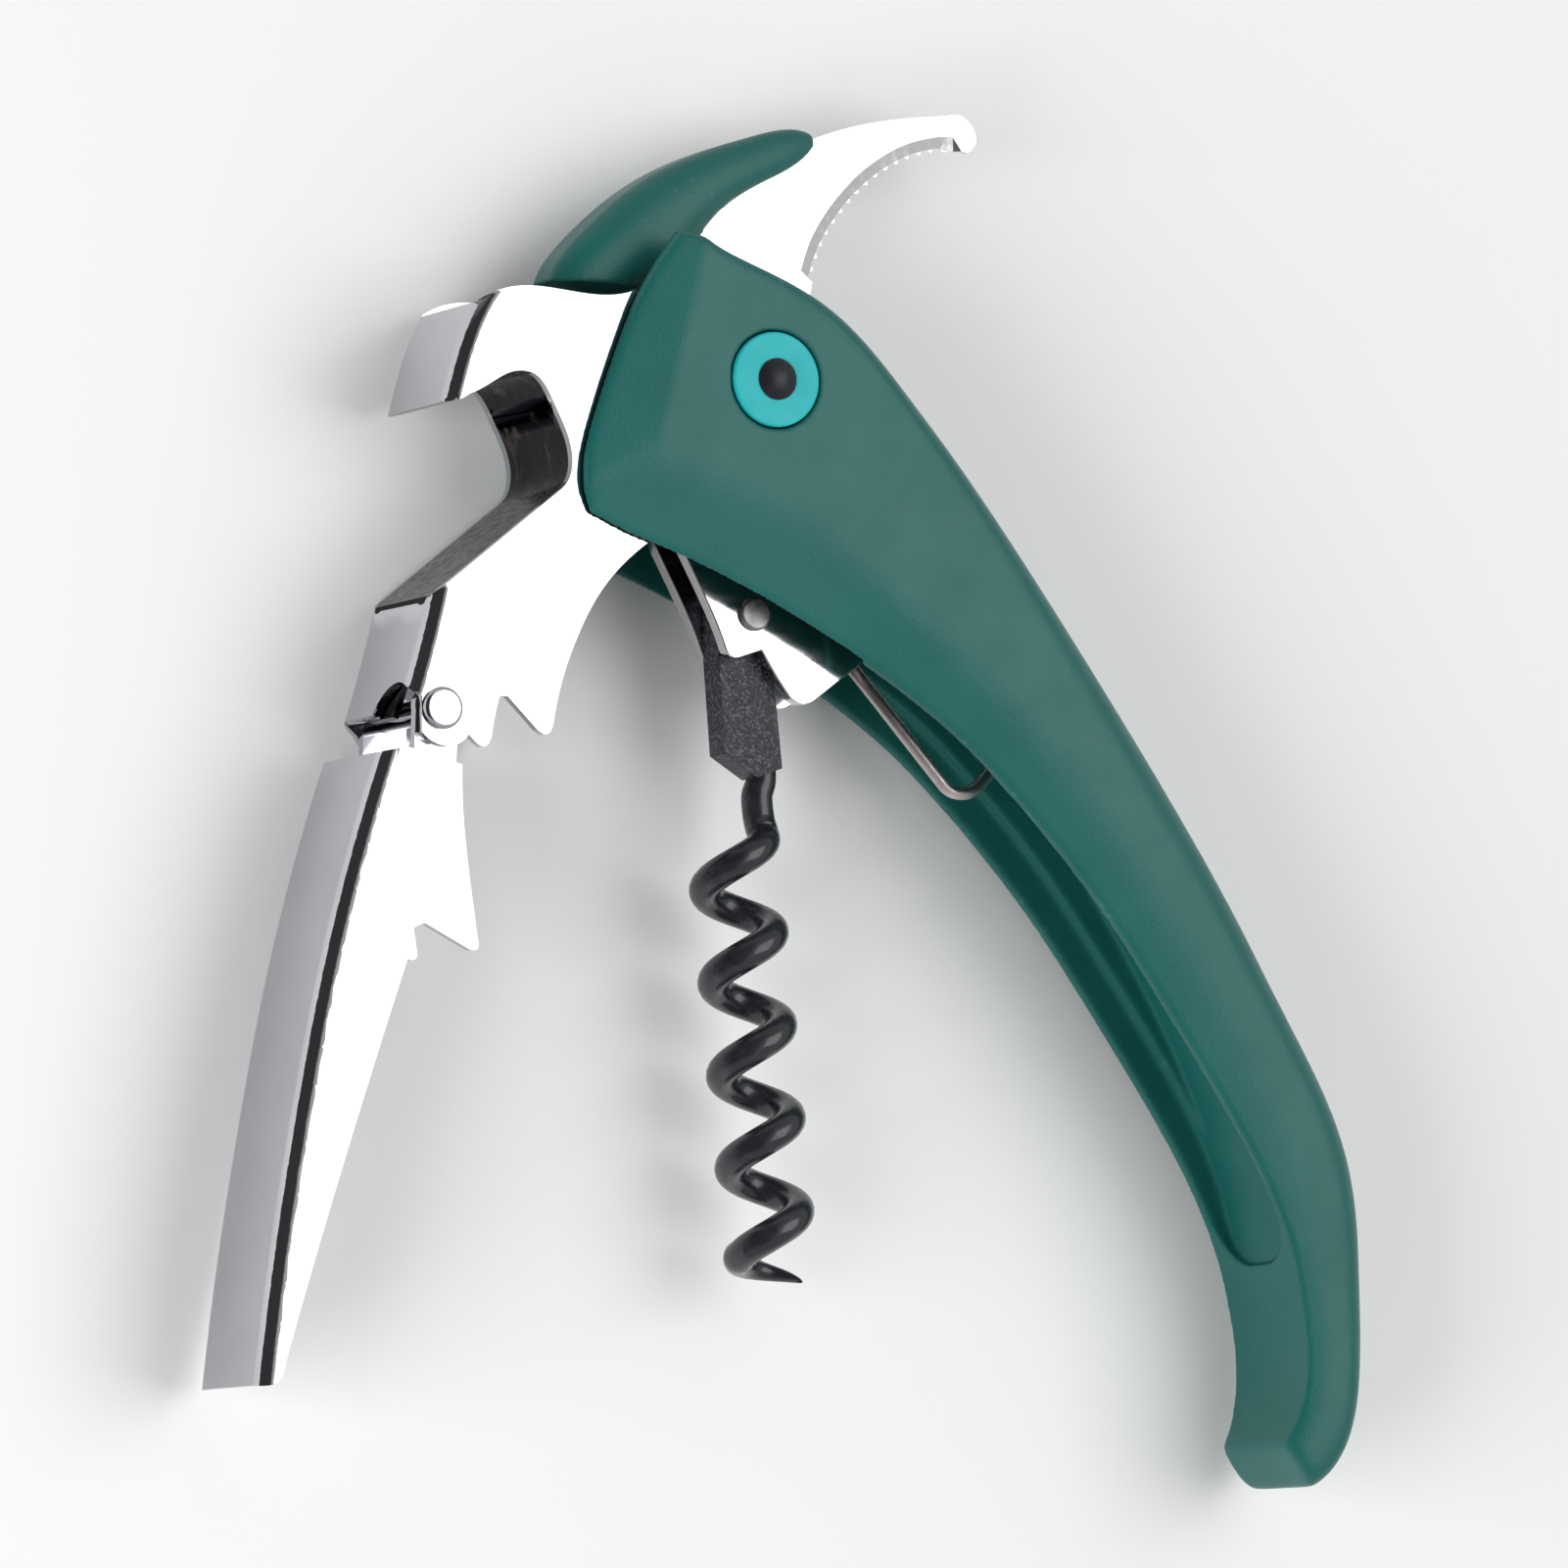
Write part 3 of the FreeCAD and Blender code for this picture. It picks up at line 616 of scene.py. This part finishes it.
def swept(centres, radii, sides):
    """A round bar whose section follows the centres without twisting, closed at both ends."""
    shape = bmesh.new()
    across = UP.copy()
    rings = []
    for i, centre in enumerate(centres):
        along = (centres[min(i + 1, len(centres) - 1)] - centres[max(i - 1, 0)]).normalized()
        across = (across - along * across.dot(along)).normalized()
        third = along.cross(across)
        spokes = [across * math.cos(a) + third * math.sin(a)
                  for a in (2 * math.pi * k / sides for k in range(sides))]
        rings.append([shape.verts.new(centre + spoke * radii[i]) for spoke in spokes])
    for first, second in zip(rings, rings[1:]):
        for k in range(sides):
            shape.faces.new((first[k], first[(k + 1) % sides], second[(k + 1) % sides], second[k]))
    shape.faces.new(rings[0][::-1])
    shape.faces.new(rings[-1])
    bmesh.ops.recalc_face_normals(shape, faces=shape.faces)
    for face in shape.faces:
        face.smooth = len(face.verts) == 4
    return shape


def smooth_path(points, steps):
    """Points along a smooth curve that goes through the given ones."""
    ends = [points[0] * 2 - points[1]] + points + [points[-1] * 2 - points[-2]]
    path = []
    for a, b, c, d in zip(ends, ends[1:], ends[2:], ends[3:]):
        for k in range(steps):
            t = k / steps
            path.append(0.5 * (2 * b + (c - a) * t + (2 * a - 5 * b + 4 * c - d) * t * t
                               + (3 * b - a - 3 * c + d) * t ** 3))
    return path + [points[-1]]


def make_worm():
    """Neck, turns and a ground point; the neck leaves the hub and flows into the first turn."""
    neck = smooth_path(NECK_CENTRES + [worm_centre(0) - WORM_AXIS * 3.4 * MM,
                                       worm_centre(0) - WORM_AXIS * 1.2 * MM, worm_centre(0.05)], 5)
    turns = [worm_centre(k / STEPS_PER_TURN) for k in range(3, int(TURNS * STEPS_PER_TURN) + 1)]
    tip_parts = [k / TIP_STEPS for k in range(1, TIP_STEPS + 1)]
    tip = [worm_centre(TURNS + TIP_TURNS * part) for part in tip_parts]
    radii = [WIRE_R * min(1.0, NECK_THINNEST + NECK_GROWTH * i) for i in range(len(neck))]
    radii += [WIRE_R] * len(turns)
    radii += [WIRE_R * ((1 - part) ** 0.8 + 0.08) for part in tip_parts]
    hand_over(stand_for("worm", "worm_wire", swept(neck + turns + tip, radii, 20)), "worm")


def make_wire_spring():
    """The bent wire, with small radii at its bends."""
    low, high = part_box("wire_spring")
    radius = (high.z - low.z) / 2
    path = [SPRING_CORNERS[0]]
    for before, corner, after in zip(SPRING_CORNERS, SPRING_CORNERS[1:], SPRING_CORNERS[2:]):
        a = corner + (before - corner).normalized() * SPRING_BEND
        b = corner + (after - corner).normalized() * SPRING_BEND
        for k in range(BEND_STEPS + 1):
            t = k / BEND_STEPS
            path.append(a * (1 - t) ** 2 + corner * 2 * t * (1 - t) + b * t ** 2)
    path.append(SPRING_CORNERS[-1])
    bar = swept(path, [radius] * len(path), 16)
    hand_over(stand_for("wire_spring", "spring_wire", bar), "wire_spring")


# ---------------------------------------------------------------- assembly
def main():
    make_camera()
    make_world()
    make_floor()
    bpy.context.scene.view_settings.view_transform = "Standard"
    softbox("key", (0.45, 0.1, 0.88), distance=0.9, side=0.7, power=3.6)
    softbox("fill", (-0.85, -0.25, 0.45), distance=0.8, side=0.5, power=4.5, mirrored=False)
    moulded("handle_body", "handle_shell", grid_mm=0.26, soften=4, worn=handle_wear, wear=75)
    moulded("crest_grip", "crest_shell", grid_mm=0.18, soften=12)
    deburred("upper_lever", "upper_lever_sheet", 0.1, mark=mark_web, extra=near_black_web())
    for node, width_mm in (("lower_lever", 0.1), ("cheek_near", 0.12), ("cheek_far", 0.12),
                           ("worm_hub", 0.3)):
        deburred(node, node + "_sheet", width_mm)
    make_blade()
    make_worm()
    make_wire_spring()
    for name, obj in nodes.items():
        if not obj.hide_render:
            finish_with(obj, FINISHES[slot_of_node[name]])
    finish_with(nodes["lever_spring"], blued_steel())
    # the pins' ends reach the grip's skin where it is thinnest, and are coloured to match it
    finish_with(nodes["grip_pins"], FINISHES["green_plastic"])


main()
